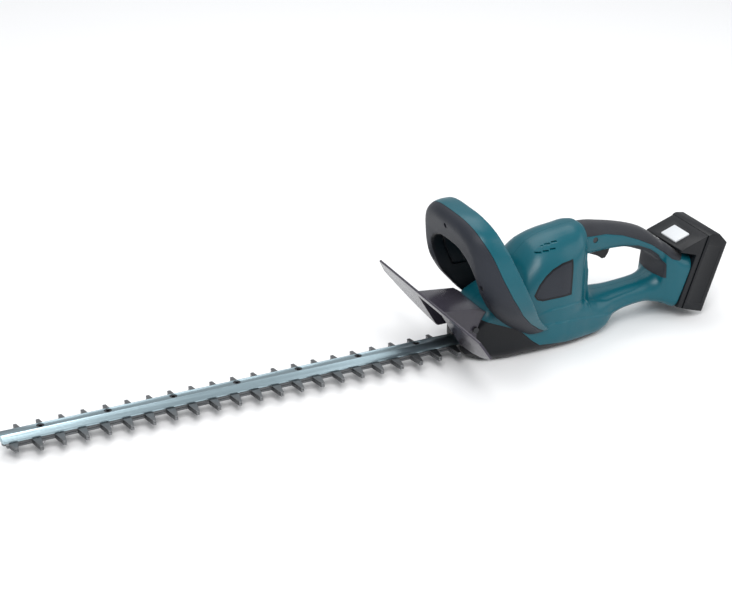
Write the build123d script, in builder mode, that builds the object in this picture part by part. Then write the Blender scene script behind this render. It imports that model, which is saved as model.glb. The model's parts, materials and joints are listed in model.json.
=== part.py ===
from build123d import *
import os
from math import acos, cos, pi, radians, sin, tan

os.makedirs("parts", exist_ok=True)

# Cordless hedge trimmer with a double-acting blade.
# Frame: millimetres, -X to the blade tip, +X to the battery, +Z up. The origin is the
# point of the flat underside straight below the crank shaft.

# --- blades and guide bar ----------------------------------------------------------------
TOOTH_PITCH = 24.5
TEETH_LEFT = 22
TEETH_RIGHT = 21
FIRST_TOOTH_X = -588.0
TOOTH_ROOT = 5.2            # half widths of a tooth at its root and at its tip
TOOTH_TIP = 1.8
TOOTH_REACH = 27.6          # from the centre line to a tooth's tip
FIRST_TOOTH_REACH = 21.0
BLADE_TIP_X = -594.0
BLADE_HALF = 9.8
BLADE_THICK = 2.6
LOWER_BLADE_Z = 12.2
UPPER_BLADE_Z = 15.2
STROKE = 5.0                # each blade slides this far either way
BAR_TIP_X = -600.0
BAR_END_X = -38.0
BAR_Z = 18.1
BAR_TOP_Z = 26.0
BAR_HALF = 9.5
BAR_FLAT_HALF = 5.0
BAR_EDGE = 1.3
TANG_X = -66.0              # behind this the bar is a thin tang under the gear case
TANG_TOP_Z = 22.0
BLADE_SCREWS = 7
FIRST_SCREW_X = -556.2
SCREW_STEP = 3 * TOOTH_PITCH
CLAMP_SCREW_X = -50.0
SCREW_R = 2.5
SLEEVE_R = 3.2
NUT_TOP_Z = 11.9

# --- crank and motor ---------------------------------------------------------------------
SHAFT_R = 4.0
CAM_R = 11.0
WINDOW_X = 2 * (CAM_R + 2 * STROKE) + 1.0
WINDOW_Y = 2 * (CAM_R + STROKE) + 1.0
YOKE_RIM = 4.5
MODULE = 1.0
GEAR_TEETH = 60
PINION_TEETH = 12
PRESSURE_ANGLE = 25.0
BACKLASH = 0.14
MOTOR_X = MODULE * (GEAR_TEETH + PINION_TEETH) / 2 + 0.1
GEAR_Z = 23.2
GEAR_THICK = 8.0
CASE_Z = 22.0
CASE_TOP_Z = 42.0
MOTOR_SHAFT_R = 2.5
MOTOR_R = 19.0
CAN_TOP_Z = 98.0
FAN_Z = 112.0

# --- body --------------------------------------------------------------------------------
WALL = 3.0
# sections across the body from nose to battery foot: x, underside, top, half width,
# lower and upper corner radius, and which way a wall's thickness moves the section
BODY_SECTIONS = [
    (-62, 8, 44, 25, 11, 11, 1),
    (-42, 2, 68, 36, 14, 18, 0),
    (-14, 0, 84, 41, 16, 28, 0),
    (-2, 0, 98, 42, 17, 34, 0),
    (8, 0, 114, 42.5, 18, 37, 0),
    (26, 0, 130, 43, 18, 40, 0),
    (48, 0, 137, 43, 18, 41, 0),
    (66, 0, 139.5, 41, 18, 39, 0),
    (82, 0, 141, 35, 16, 30, 0),
    (92, 0, 140.5, 26, 14, 22, -1),
    (96, 0, 56, 35, 15, 27, -1),
    (110, 1, 49, 33, 14, 26, 0),
    (124, 4, 47, 29, 13, 22, 0),
    (139, 17, 47, 23, 11, 17, 0),
    (158, 22, 48, 20.5, 9, 15, 0),
    (184, 24, 50, 21, 9, 15, 0),
    (202, 21, 58, 25, 10, 18, 1),
    (206, 20, 97, 27, 11, 18, 1),
    (226, 12, 84, 33.5, 11, 18, 0),
    (252, 6, 76, 35.5, 11, 18, -1),
]
# sections across the rear grip; both ends lie inside the body
GRIP_SECTIONS = [
    (84, 101, 138, 19.5, 10, 17, 1),
    (104, 101, 137.5, 19, 10, 17, 0),
    (125, 101, 134, 17.5, 10, 16, 0),
    (150, 100, 128, 17, 10, 15, 0),
    (175, 92, 119.5, 17.5, 10, 15, 0),
    (192, 84, 110, 19.5, 10, 15, 0),
    (206, 72, 96.4, 22, 9, 11, 0),
    (212, 68, 90, 23, 8, 8, -1),
]
BASE_SPLIT = [(-80, 62), (-56, 52), (-22, 31), (8, 14), (60, 8), (116, 6)]    # base cover's top edge
OVERMOULD_EDGE = [(94, 170), (95, 126), (122, 124), (146, 118), (168, 109), (188, 99), (203, 88),
                  (212, 80), (222, 77), (231, 82), (231, 170)]
BADGE_EDGE = [(64, 113), (64, 69), (24, 69), (16, 72), (12, 78), (18, 90), (26, 99), (36, 106), (49, 111)]
CASE_SCREWS = [(107, 120), (130, 34), (92, 20), (200, 42), (62, 130), (-6, 78)]   # x, z

# --- front handle ------------------------------------------------------------------------
LOOP_OUTER = [(0, 184), (30, 182.5), (54, 173), (67, 155), (73, 128), (77, 100), (74, 78), (64, 58),
              (52, 38)]
LOOP_INNER = [(0, 147), (24, 144), (41, 134), (49, 118), (50, 100), (46, 80), (40, 60), (36, 38)]
LOOP_FRONT = [(-92, 190), (-84, 168), (-78, 146), (-74, 125), (-67, 103), (-55, 82), (-38, 62), (-18, 44)]
LOOP_SEAM = [(-78, 190), (-69, 167), (-60, 149), (-49, 123), (-37, 99), (-20, 73), (-2, 56), (14, 48)]
LOOP_REAR = [(-56, 190), (-45, 163), (-31, 133), (-16, 101), (-5, 80), (5, 62), (16, 50)]
LEVER_LEAN = 24.0           # the front switch lever slides up the loop on this lean
LEVER_TRAVEL = 4.0

# --- guard -------------------------------------------------------------------------------
GUARD_FOOT = (-72.0, 25.0)  # x and z of the guard plate's lower edge at the centre line
GUARD_LEAN = 31.0
GUARD_HEIGHT = 61.0
GUARD_HALF = 125.0
GUARD_THICK = 2.6

# --- battery mounting, in a frame tilted about Y: x rearward, y up along the rails --------
TILT = 17.5
REARWARD = Vector(cos(radians(TILT)), 0, -sin(radians(TILT)))
UPWARD = Vector(sin(radians(TILT)), 0, cos(radians(TILT)))
FOOT_FACE = 205.0           # the foot's rear face and the battery's faces, along REARWARD
BATTERY_FACE = 205.4
BATTERY_BACK = 245.4
BATTERY_SPLIT = 213.0       # where the cover meets the case
BATTERY_BOTTOM = 83.0       # along UPWARD
BATTERY_TOP = 183.0
BATTERY_HALF = 37.0
CELL_R = 9.0
CELL_LENGTH = 65.0


def save(builder, label):
    """Names a finished piece and writes it."""
    builder.part.label = label
    export_step(builder.part, f"parts/{label}.step")


def section(x, low, high, half, low_radius, high_radius, inset):
    """A rounded cross section standing at x, drawn in by inset."""
    with BuildSketch(Plane.YZ.offset(x)) as outline:
        with Locations((0, (low + high) / 2)):
            Rectangle(2 * (half - inset), high - low - 2 * inset)
        corners = outline.vertices().group_by(Axis.Z)
        fillet(corners[0], low_radius - inset / 2)
        fillet(corners[-1], high_radius - inset)
    return outline.sketch


def lofted(sections, inset):
    """One body through its cross sections, with inset taken off it everywhere."""
    outlines = [
        section(x + inward * inset, low, high, half, low_radius, high_radius, inset)
        for x, low, high, half, low_radius, high_radius, inward in sections
    ]
    loft(outlines, ruled=True)


def side_outline(points, grow=0.0, smooth=True):
    """A closed outline in the XZ plane, grown or shrunk by grow."""
    with BuildSketch(Plane.XZ) as outline:
        with BuildLine():
            if smooth:
                Spline(*points, periodic=True)
            else:
                Polyline(*points, close=True)
        make_face()
        if grow:
            offset(amount=grow)
    return outline.sketch


def body_form(inset, face):
    """The body with inset taken off it, ending at face along the battery's rearward axis."""
    lofted(BODY_SECTIONS, inset)
    lofted(GRIP_SECTIONS, inset)
    behind = [tilted(face, -50), tilted(face, 250), tilted(400, 250), tilted(400, -50)]
    extrude(side_outline(behind, smooth=False), amount=60, both=True, mode=Mode.SUBTRACT)


def tilted(rearward, upward):
    """The (x, z) point at these distances along the battery's tilted axes."""
    place = REARWARD * rearward + UPWARD * upward
    return (place.X, place.Z)


def below(points, depth):
    """Closes a line of points into an outline that reaches down to depth."""
    return points + [(points[-1][0], depth), (points[0][0], depth)]


# --- body forms --------------------------------------------------------------------------
with BuildPart() as outer_form:
    body_form(0, FOOT_FACE)

with BuildPart() as inner_form:
    body_form(WALL, FOOT_FACE - 10)

with BuildPart() as shell:
    add(outer_form.part)
    add(inner_form.part, mode=Mode.SUBTRACT)

base_region = side_outline(below(BASE_SPLIT, -5), smooth=False)
overmould_region = side_outline(OVERMOULD_EDGE, smooth=False)
badge_region = side_outline(BADGE_EDGE, smooth=False)

# --- housing halves ----------------------------------------------------------------------
BOSS_R = 4.5
VENTS = [(30, 128), (38.5, 129.5), (47, 131), (25, 122.5), (33.5, 124), (42, 125.5)]
RAIL_NECK = 15.0            # half widths and depths of the battery's T-shaped tongue
RAIL_HEAD = 19.0
RAIL_DEPTH = 4.5
RAIL_FIT = 0.4
RAIL_BOTTOM = 93.0          # along UPWARD


def battery_prism(near, far, bottom, top, half):
    """A block on the battery's tilted axes, as its side outline and its half width."""
    corners = [tilted(near, bottom), tilted(far, bottom), tilted(far, top), tilted(near, top)]
    extrude(side_outline(corners, smooth=False), amount=half, both=True)


def rail_tongue(fit, bottom, top):
    """The battery's T-shaped tongue, or the groove that it slides in."""
    battery_prism(FOOT_FACE - RAIL_DEPTH - fit, BATTERY_FACE + 1, bottom, top, RAIL_NECK + fit)
    battery_prism(FOOT_FACE - 2 * RAIL_DEPTH - fit, FOOT_FACE - RAIL_DEPTH + fit, bottom, top,
                  RAIL_HEAD + fit)


with BuildPart() as rail_groove:
    rail_tongue(RAIL_FIT, RAIL_BOTTOM, 250)

with BuildPart() as housing:
    add(shell.part)
    with Locations(*[Location((x, 0, z), (90, 0, 0)) for x, z in CASE_SCREWS]):
        Cylinder(BOSS_R, 120)
    battery_prism(FOOT_FACE - 15, FOOT_FACE, 60, 220, 34)
    add(outer_form.part, mode=Mode.INTERSECT)
    add(rail_groove.part, mode=Mode.SUBTRACT)
    for region in (base_region, overmould_region, badge_region):
        extrude(region, amount=60, both=True, mode=Mode.SUBTRACT)
    with Locations(*[Location((x, 0, z), (90, 0, 0)) for x, z in VENTS]):
        Box(7, 1.8, 120, mode=Mode.SUBTRACT)
    trigger_slot = [(104, 96), (137, 96), (137, 110), (104, 110)]
    extrude(side_outline(trigger_slot, smooth=False), amount=8.6, both=True, mode=Mode.SUBTRACT)

for side, keep in (("left", Keep.TOP), ("right", Keep.BOTTOM)):
    with BuildPart() as half:
        add(housing.part)
        split(bisect_by=Plane.XZ, keep=keep)
        for x, z in CASE_SCREWS:
            with BuildSketch(Plane.XZ) as bore:
                with Locations((x, z)):
                    Circle(1.9)
            if side == "left":
                extrude(bore.sketch, amount=60, mode=Mode.SUBTRACT)
                with BuildSketch(Plane.XZ.offset(15)) as head_room:
                    with Locations((x, z)):
                        Circle(3.6)
                extrude(head_room.sketch, amount=45, mode=Mode.SUBTRACT)
            else:
                extrude(bore.sketch, amount=-14, mode=Mode.SUBTRACT)
    save(half, f"housing_{side}")

with BuildPart() as housing_screws:
    for x, z in CASE_SCREWS:
        with BuildSketch(Plane.XZ.offset(15)):
            with Locations((x, z)):
                Circle(3.4)
        extrude(amount=3)
        with BuildSketch(Plane.XZ.offset(15)):
            with Locations((x, z)):
                Circle(1.7)
        extrude(amount=-27)
save(housing_screws, "housing_screws")

# --- skins let into the housing ----------------------------------------------------------
with BuildPart() as grip_overmould:
    add(shell.part)
    extrude(overmould_region, amount=60, both=True, mode=Mode.INTERSECT)
    add(rail_groove.part, mode=Mode.SUBTRACT)
save(grip_overmould, "grip_overmould")

for side, keep in (("left", Keep.TOP), ("right", Keep.BOTTOM)):
    with BuildPart() as badge:
        add(shell.part)
        extrude(badge_region, amount=60, both=True, mode=Mode.INTERSECT)
        split(bisect_by=Plane.XZ, keep=keep)
    save(badge, f"badge_{side}")

# --- base cover and gear case -------------------------------------------------------------
with BuildPart() as base_cover:
    add(shell.part)
    with Locations((0, 0, 3)):
        Cylinder(9.5, 7.5, align=(Align.CENTER, Align.CENTER, Align.MIN))
    with Locations((-62, 0, 5.5)):
        Box(44, 34, 6.4, align=(Align.CENTER, Align.CENTER, Align.MIN))
    extrude(base_region, amount=60, both=True, mode=Mode.INTERSECT)
    with Locations((-62, 0, 11.9)):
        Box(50, 21.4, 6.6, align=(Align.CENTER, Align.CENTER, Align.MIN), mode=Mode.SUBTRACT)
    with Locations((-62, 0, 18)):
        Box(50, 2 * BAR_HALF, 4, align=(Align.CENTER, Align.CENTER, Align.MIN), mode=Mode.SUBTRACT)
    with Locations((0, 0, 5.5)):
        Cylinder(7.5, 20, align=(Align.CENTER, Align.CENTER, Align.MIN), mode=Mode.SUBTRACT)
    with Locations((CLAMP_SCREW_X, 0, 0)):
        Cylinder(SCREW_R + 0.1, 40, mode=Mode.SUBTRACT)
        Cylinder(4.6, 16, mode=Mode.SUBTRACT)
save(base_cover, "base_cover")

CASE_HALF = 35.0
with BuildPart() as gear_case:
    with BuildSketch(Plane.XY.offset(CASE_Z)):
        Circle(CASE_HALF)
        with Locations((MOTOR_X, 0)):
            Circle(22)
        with Locations((MOTOR_X / 2, 0)):
            Rectangle(MOTOR_X, 40)
    extrude(amount=CASE_TOP_Z - CASE_Z)
    with Locations((-44, 0, CASE_Z)):
        Box(22, 22, 12, align=(Align.CENTER, Align.CENTER, Align.MIN))
    with BuildSketch(Plane.XY.offset(CASE_Z)):
        Circle(32)
        with Locations((MOTOR_X, 0)):
            Circle(9)
        with Locations((MOTOR_X - 8, 0)):
            Rectangle(16, 18)
    extrude(amount=11, mode=Mode.SUBTRACT)
    with Locations((0, 0, 35)):
        Cylinder(8, 10, align=(Align.CENTER, Align.CENTER, Align.MIN), mode=Mode.SUBTRACT)
    with Locations((0, 0, 30)):
        Cylinder(SHAFT_R + 1.5, 20, align=(Align.CENTER, Align.CENTER, Align.MIN), mode=Mode.SUBTRACT)
    with Locations((MOTOR_X, 0, 30)):
        Cylinder(6, 20, align=(Align.CENTER, Align.CENTER, Align.MIN), mode=Mode.SUBTRACT)
    with Locations((CLAMP_SCREW_X, 0, CASE_Z)):
        Cylinder(SCREW_R, 10, align=(Align.CENTER, Align.CENTER, Align.MIN), mode=Mode.SUBTRACT)
    top_edges = gear_case.edges().group_by(Axis.Z)[-1].filter_by(GeomType.CIRCLE)
    fillet(top_edges.sort_by(SortBy.LENGTH)[-2:], 1.5)
save(gear_case, "gear_case")


def ring_node(label, x, z, outer, inner, height):
    """A bearing or bush with its axis along Z."""
    with BuildPart() as bearing:
        with BuildSketch(Plane.XY.offset(z)):
            with Locations((x, 0)):
                Circle(outer)
                Circle(inner, mode=Mode.SUBTRACT)
        extrude(amount=height)
    save(bearing, label)


ring_node("crank_bearing_lower", 0, 5.5, 7.5, SHAFT_R + 0.03, 4.8)
ring_node("crank_bearing_upper", 0, 35, 8.0, SHAFT_R + 0.03, 6)

# --- crank -------------------------------------------------------------------------------
with BuildPart() as crank_shaft:
    with Locations((0, 0, 5.8)):
        Cylinder(SHAFT_R, 35, align=(Align.CENTER, Align.CENTER, Align.MIN))
save(crank_shaft, "crank_shaft")


def gear_outline(teeth, turn):
    """A spur gear's outline: involute flanks between its root and tip circles."""
    pitch_r = MODULE * teeth / 2
    base_r = pitch_r * cos(radians(PRESSURE_ANGLE))
    tip_r = pitch_r + 0.8 * MODULE
    root_r = pitch_r - 1.05 * MODULE
    involute_at_pitch = tan(radians(PRESSURE_ANGLE)) - radians(PRESSURE_ANGLE)
    half_tooth = pi / (2 * teeth) - BACKLASH / (2 * pitch_r)
    points = []
    for tooth in range(teeth):
        middle = 2 * pi * (tooth + turn) / teeth
        flank = []
        for step in range(4):
            radius = max(base_r, root_r) + (tip_r - max(base_r, root_r)) * step / 3
            angle = acos(min(1.0, base_r / radius))
            flank.append((radius, half_tooth + involute_at_pitch - (tan(angle) - angle)))
        if base_r > root_r:
            flank.insert(0, (root_r, flank[0][1]))
        for radius, angle in flank:
            points.append((radius * cos(middle - angle), radius * sin(middle - angle)))
        for radius, angle in reversed(flank):
            points.append((radius * cos(middle + angle), radius * sin(middle + angle)))
    with BuildSketch() as outline:
        with BuildLine():
            Polyline(*points, close=True)
        make_face()
    return outline.sketch


with BuildPart() as crank_gear:
    with BuildSketch(Plane.XY.offset(GEAR_Z)):
        add(gear_outline(GEAR_TEETH, 0))
        Circle(SHAFT_R, mode=Mode.SUBTRACT)
    extrude(amount=GEAR_THICK)
    with BuildSketch(Plane.XY.offset(GEAR_Z + GEAR_THICK - 2)):
        Circle(24)
        Circle(9, mode=Mode.SUBTRACT)
    extrude(amount=2, mode=Mode.SUBTRACT)
save(crank_gear, "crank_gear")

for label, z, reach in (("upper_cam", UPPER_BLADE_Z, STROKE), ("lower_cam", LOWER_BLADE_Z, -STROKE)):
    with BuildPart() as cam:
        with BuildSketch(Plane.XY.offset(z)):
            with Locations((0, reach)):
                Circle(CAM_R)
            Circle(SHAFT_R, mode=Mode.SUBTRACT)
        extrude(amount=BLADE_THICK)
    save(cam, label)

with BuildPart() as crank_spacer:
    with BuildSketch(Plane.XY.offset(UPPER_BLADE_Z + BLADE_THICK)):
        Circle(7)
        Circle(SHAFT_R, mode=Mode.SUBTRACT)
    extrude(amount=GEAR_Z - UPPER_BLADE_Z - BLADE_THICK)
save(crank_spacer, "crank_spacer")

# --- blades ------------------------------------------------------------------------------
def blade(label, z):
    """A blade: a toothed strip with slots for its screws and a yoke for its cam."""
    yoke_x = WINDOW_X / 2 + YOKE_RIM
    yoke_y = WINDOW_Y / 2 + YOKE_RIM
    with BuildPart() as strip:
        with BuildSketch(Plane.XY.offset(z)):
            with Locations(((BLADE_TIP_X - yoke_x) / 2, 0)):
                Rectangle(-yoke_x - BLADE_TIP_X + 2, 2 * BLADE_HALF)
            with Locations((BLADE_TIP_X, 0)):
                Circle(4)
            for number in range(TEETH_LEFT):
                reach = FIRST_TOOTH_REACH if number == 0 else TOOTH_REACH
                x = FIRST_TOOTH_X + number * TOOTH_PITCH
                with BuildLine():
                    Polyline((x - TOOTH_ROOT, 1 - BLADE_HALF), (x - TOOTH_TIP, -reach),
                             (x + TOOTH_TIP, -reach), (x + TOOTH_ROOT, 1 - BLADE_HALF), close=True)
                make_face()
            for number in range(TEETH_RIGHT):
                x = FIRST_TOOTH_X + (number + 0.5) * TOOTH_PITCH
                with BuildLine():
                    Polyline((x - TOOTH_ROOT, BLADE_HALF - 1), (x - TOOTH_TIP, TOOTH_REACH),
                             (x + TOOTH_TIP, TOOTH_REACH), (x + TOOTH_ROOT, BLADE_HALF - 1), close=True)
                make_face()
            Rectangle(2 * yoke_x, 2 * yoke_y)
            Rectangle(WINDOW_X, WINDOW_Y, mode=Mode.SUBTRACT)
            slots = [(FIRST_SCREW_X + number * SCREW_STEP, 0) for number in range(BLADE_SCREWS)]
            with Locations(*slots, (CLAMP_SCREW_X, 0)):
                SlotCenterToCenter(2 * STROKE + 0.6, 2 * SLEEVE_R + 0.6, mode=Mode.SUBTRACT)
        extrude(amount=BLADE_THICK)
    save(strip, label)


blade("upper_blade", UPPER_BLADE_Z)
blade("lower_blade", LOWER_BLADE_Z)

# --- guide bar and its fasteners ---------------------------------------------------------
screw_places = [(FIRST_SCREW_X + number * SCREW_STEP, 0) for number in range(BLADE_SCREWS)]
with BuildPart() as guide_bar:
    with BuildSketch(Plane.YZ.offset(BAR_TIP_X)):
        with BuildLine():
            Polyline((-BAR_HALF, BAR_Z), (BAR_HALF, BAR_Z), (BAR_HALF, BAR_Z + BAR_EDGE),
                     (BAR_FLAT_HALF, BAR_TOP_Z), (-BAR_FLAT_HALF, BAR_TOP_Z),
                     (-BAR_HALF, BAR_Z + BAR_EDGE), close=True)
        make_face()
    extrude(amount=BAR_END_X - BAR_TIP_X)
    tang_room = [(TANG_X, TANG_TOP_Z), (BAR_END_X + 1, TANG_TOP_Z), (BAR_END_X + 1, 40), (TANG_X - 8, 40)]
    extrude(side_outline(tang_room, smooth=False), amount=20, both=True, mode=Mode.SUBTRACT)
    with BuildSketch(Plane.XY):
        with Locations(((BAR_TIP_X + BAR_END_X) / 2 + 10, 0)):
            Rectangle(BAR_END_X - BAR_TIP_X + 20, 40)
        tip_corners = vertices().group_by(Axis.X)[0]
        fillet(tip_corners, 19)
    extrude(amount=60, mode=Mode.INTERSECT)
    for x, y in screw_places:
        with Locations((x, y, BAR_TOP_Z)):
            CounterBoreHole(SCREW_R + 0.1, 4.3, 3.4, depth=20)
    with Locations((CLAMP_SCREW_X, 0, 0)):
        Cylinder(SCREW_R + 0.1, 60, mode=Mode.SUBTRACT)
save(guide_bar, "guide_bar")

with BuildPart() as blade_screws:
    for x, y in screw_places:
        with BuildSketch(Plane.XY.offset(4.2)):
            with Locations((x, y)):
                Circle(SCREW_R)
        extrude(amount=BAR_TOP_Z - 3.4 - 4.2)
        with BuildSketch(Plane.XY.offset(BAR_TOP_Z - 3.4)):
            with Locations((x, y)):
                Circle(4.1)
        extrude(amount=2.8)
        with BuildSketch(Plane.XY.offset(BAR_TOP_Z - 2.4)):
            with Locations((x, y)):
                RegularPolygon(2.3, 6)
        extrude(amount=4, mode=Mode.SUBTRACT)
save(blade_screws, "blade_screws")

with BuildPart() as blade_sleeves:
    for x, y in screw_places + [(CLAMP_SCREW_X, 0)]:
        with BuildSketch(Plane.XY.offset(NUT_TOP_Z)):
            with Locations((x, y)):
                Circle(SLEEVE_R)
                Circle(SCREW_R, mode=Mode.SUBTRACT)
        extrude(amount=BAR_Z - NUT_TOP_Z)
save(blade_sleeves, "blade_sleeves")

with BuildPart() as blade_nuts:
    for x, y in screw_places:
        with BuildSketch(Plane.XY.offset(NUT_TOP_Z - 1.6)):
            with Locations((x, y)):
                Circle(7)
                Circle(SCREW_R, mode=Mode.SUBTRACT)
        extrude(amount=1.6)
        with BuildSketch(Plane.XY.offset(NUT_TOP_Z - 6)):
            with Locations((x, y)):
                RegularPolygon(4.6, 6)
                Circle(SCREW_R, mode=Mode.SUBTRACT)
        extrude(amount=4.4)
save(blade_nuts, "blade_nuts")

with BuildPart() as bar_clamp_screw:
    with Locations((CLAMP_SCREW_X, 0, 5)):
        Cylinder(4.4, 3, align=(Align.CENTER, Align.CENTER, Align.MIN))
    with Locations((CLAMP_SCREW_X, 0, 8)):
        Cylinder(SCREW_R, 22, align=(Align.CENTER, Align.CENTER, Align.MIN))
save(bar_clamp_screw, "bar_clamp_screw")

# --- motor -------------------------------------------------------------------------------
with BuildPart() as motor_can:
    with Locations((MOTOR_X, 0, CASE_TOP_Z)):
        Cylinder(MOTOR_R, CAN_TOP_Z - CASE_TOP_Z, align=(Align.CENTER, Align.CENTER, Align.MIN))
        Cylinder(4.5, 4, align=(Align.CENTER, Align.CENTER, Align.MIN), mode=Mode.SUBTRACT)
    with Locations((MOTOR_X, 0, CASE_TOP_Z + 4)):
        Cylinder(MOTOR_R - 1.5, 60, align=(Align.CENTER, Align.CENTER, Align.MIN), mode=Mode.SUBTRACT)
save(motor_can, "motor_can")

with BuildPart() as motor_magnets:
    with BuildSketch(Plane.XY.offset(CASE_TOP_Z + 8)):
        with Locations((MOTOR_X, 0)):
            Circle(MOTOR_R - 1.5)
            Circle(13.2, mode=Mode.SUBTRACT)
            Rectangle(40, 9, mode=Mode.SUBTRACT)
    extrude(amount=36)
save(motor_magnets, "motor_magnets")

with BuildPart() as motor_end_cap:
    with Locations((MOTOR_X, 0, CAN_TOP_Z)):
        Cylinder(MOTOR_R, 8, align=(Align.CENTER, Align.CENTER, Align.MIN))
        Cylinder(13, 5, align=(Align.CENTER, Align.CENTER, Align.MIN), mode=Mode.SUBTRACT)
        Cylinder(4.5, 8, align=(Align.CENTER, Align.CENTER, Align.MIN), mode=Mode.SUBTRACT)
save(motor_end_cap, "motor_end_cap")

ring_node("motor_bearing_lower", MOTOR_X, CASE_TOP_Z, 4.5, MOTOR_SHAFT_R + 0.03, 4)
ring_node("motor_bearing_upper", MOTOR_X, CAN_TOP_Z + 5, 4.5, MOTOR_SHAFT_R + 0.03, 3)

with BuildPart() as brush_holders:
    for side in (-1, 1):
        with Locations((MOTOR_X, side * 9.2, CAN_TOP_Z - 7)):
            Box(7, 6, 11.9, align=(Align.CENTER, Align.CENTER, Align.MIN))
save(brush_holders, "brush_holders")

with BuildPart() as motor_armature:
    with Locations((MOTOR_X, 0, GEAR_Z - 1)):
        Cylinder(MOTOR_SHAFT_R, FAN_Z + 7 - GEAR_Z, align=(Align.CENTER, Align.CENTER, Align.MIN))
    with BuildSketch(Plane.XY.offset(CASE_TOP_Z + 10)):
        with Locations((MOTOR_X, 0)):
            Circle(12.6)
            with PolarLocations(11.2, 5):
                Rectangle(3.4, 1.6, mode=Mode.SUBTRACT)
    extrude(amount=32)
    with Locations((MOTOR_X, 0, CAN_TOP_Z - 7)):
        Cylinder(5.8, 11, align=(Align.CENTER, Align.CENTER, Align.MIN))
save(motor_armature, "motor_armature")

with BuildPart() as motor_pinion:
    with BuildSketch(Plane.XY.offset(GEAR_Z)):
        with Locations((MOTOR_X, 0)):
            add(gear_outline(PINION_TEETH, 0.5))
            Circle(MOTOR_SHAFT_R, mode=Mode.SUBTRACT)
    extrude(amount=GEAR_THICK)
save(motor_pinion, "motor_pinion")

with BuildPart() as motor_fan:
    with BuildSketch(Plane.XY.offset(FAN_Z)):
        with Locations((MOTOR_X, 0)):
            Circle(16)
            Circle(MOTOR_SHAFT_R, mode=Mode.SUBTRACT)
    extrude(amount=1.6)
    with BuildSketch(Plane.XY.offset(FAN_Z - 4)):
        with Locations((MOTOR_X, 0)):
            Circle(5.5)
            Circle(MOTOR_SHAFT_R, mode=Mode.SUBTRACT)
            with PolarLocations(10.5, 9):
                Rectangle(11, 1.4)
    extrude(amount=4)
save(motor_fan, "motor_fan")

# --- front handle ------------------------------------------------------------------------
def mirrored_outline(points, grow):
    """An outline in the YZ plane from its right half, with its arch grown outward by grow."""
    arch = [(-y, z) for y, z in reversed(points[1:])] + points
    moved = []
    for place, (y, z) in enumerate(arch):
        before, after = arch[max(place - 1, 0)], arch[min(place + 1, len(arch) - 1)]
        along = Vector(after[0] - before[0], after[1] - before[1]).normalized()
        moved.append((y - along.Y * grow, z + along.X * grow))
    foot = points[-1][1] - 30
    with BuildSketch(Plane.YZ) as outline:
        with BuildLine():
            Spline(*moved)
            Polyline(moved[-1], (moved[-1][0], foot), (moved[0][0], foot), moved[0])
        make_face()
    return outline.sketch


def loop_band(front, rear, inset):
    """The front handle's inverted U between two side-view lines, drawn in by inset."""
    extrude(mirrored_outline(LOOP_OUTER, -inset), amount=130, both=True)
    extrude(mirrored_outline(LOOP_INNER, inset), amount=130, both=True, mode=Mode.SUBTRACT)
    extrude(side_outline(front + list(reversed(rear)), -inset, smooth=False), amount=90, both=True,
            mode=Mode.INTERSECT)


lean = radians(LEVER_LEAN)
lever_front = [(-50 - (z - 106) * tan(lean), z) for z in (92, 170)]
lever_rear = [(x + 17, z) for x, z in lever_front]
channel_front = [(-50.6 - (z - 106) * tan(lean), z) for z in (90, 172)]
channel_rear = [(x + 18.2, z) for x, z in channel_front]
HANDLE_SCREWS = [(-83.0, 0, 165.5), (-70.5, -61, 112), (-70.5, 61, 112)]    # on the front face

with BuildPart() as lever_channel:
    lift = LEVER_TRAVEL * cos(lean) + 0.6
    extrude(mirrored_outline([(y, z + lift) for y, z in LOOP_INNER], 7.4), amount=130, both=True)
    extrude(side_outline(channel_front + list(reversed(channel_rear)), smooth=False), amount=90, both=True,
            mode=Mode.INTERSECT)

with BuildPart() as handle_cavity:
    loop_band(LOOP_FRONT, LOOP_REAR, WALL)
    for x, y, z in HANDLE_SCREWS:
        with Locations(Location((x + 50, y, z), (0, 90, 0))):
            Cylinder(4.8, 100, mode=Mode.SUBTRACT)

for label, front, rear in (
    ("front_handle_front_shell", LOOP_FRONT, LOOP_SEAM),
    ("front_handle_rear_shell", LOOP_SEAM, LOOP_REAR),
):
    with BuildPart() as handle_shell:
        loop_band(front, rear, 0)
        add(handle_cavity.part, mode=Mode.SUBTRACT)
        add(lever_channel.part, mode=Mode.SUBTRACT)
        add(outer_form.part, mode=Mode.SUBTRACT)
        for x, y, z in HANDLE_SCREWS:
            with Locations(Location((x - 5, y, z), (0, 90, 0))):
                Cylinder(3.0, 20, mode=Mode.SUBTRACT)
            with Locations(Location((x + 5, y, z), (0, 90, 0))):
                Cylinder(1.7, 34, mode=Mode.SUBTRACT)
    save(handle_shell, label)

with BuildPart() as front_switch_lever:
    extrude(mirrored_outline(LOOP_INNER, 5.6), amount=130, both=True)
    extrude(mirrored_outline(LOOP_INNER, -2.5), amount=130, both=True, mode=Mode.SUBTRACT)
    extrude(side_outline(lever_front + list(reversed(lever_rear)), smooth=False), amount=90, both=True,
            mode=Mode.INTERSECT)
save(front_switch_lever, "front_switch_lever")

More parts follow.
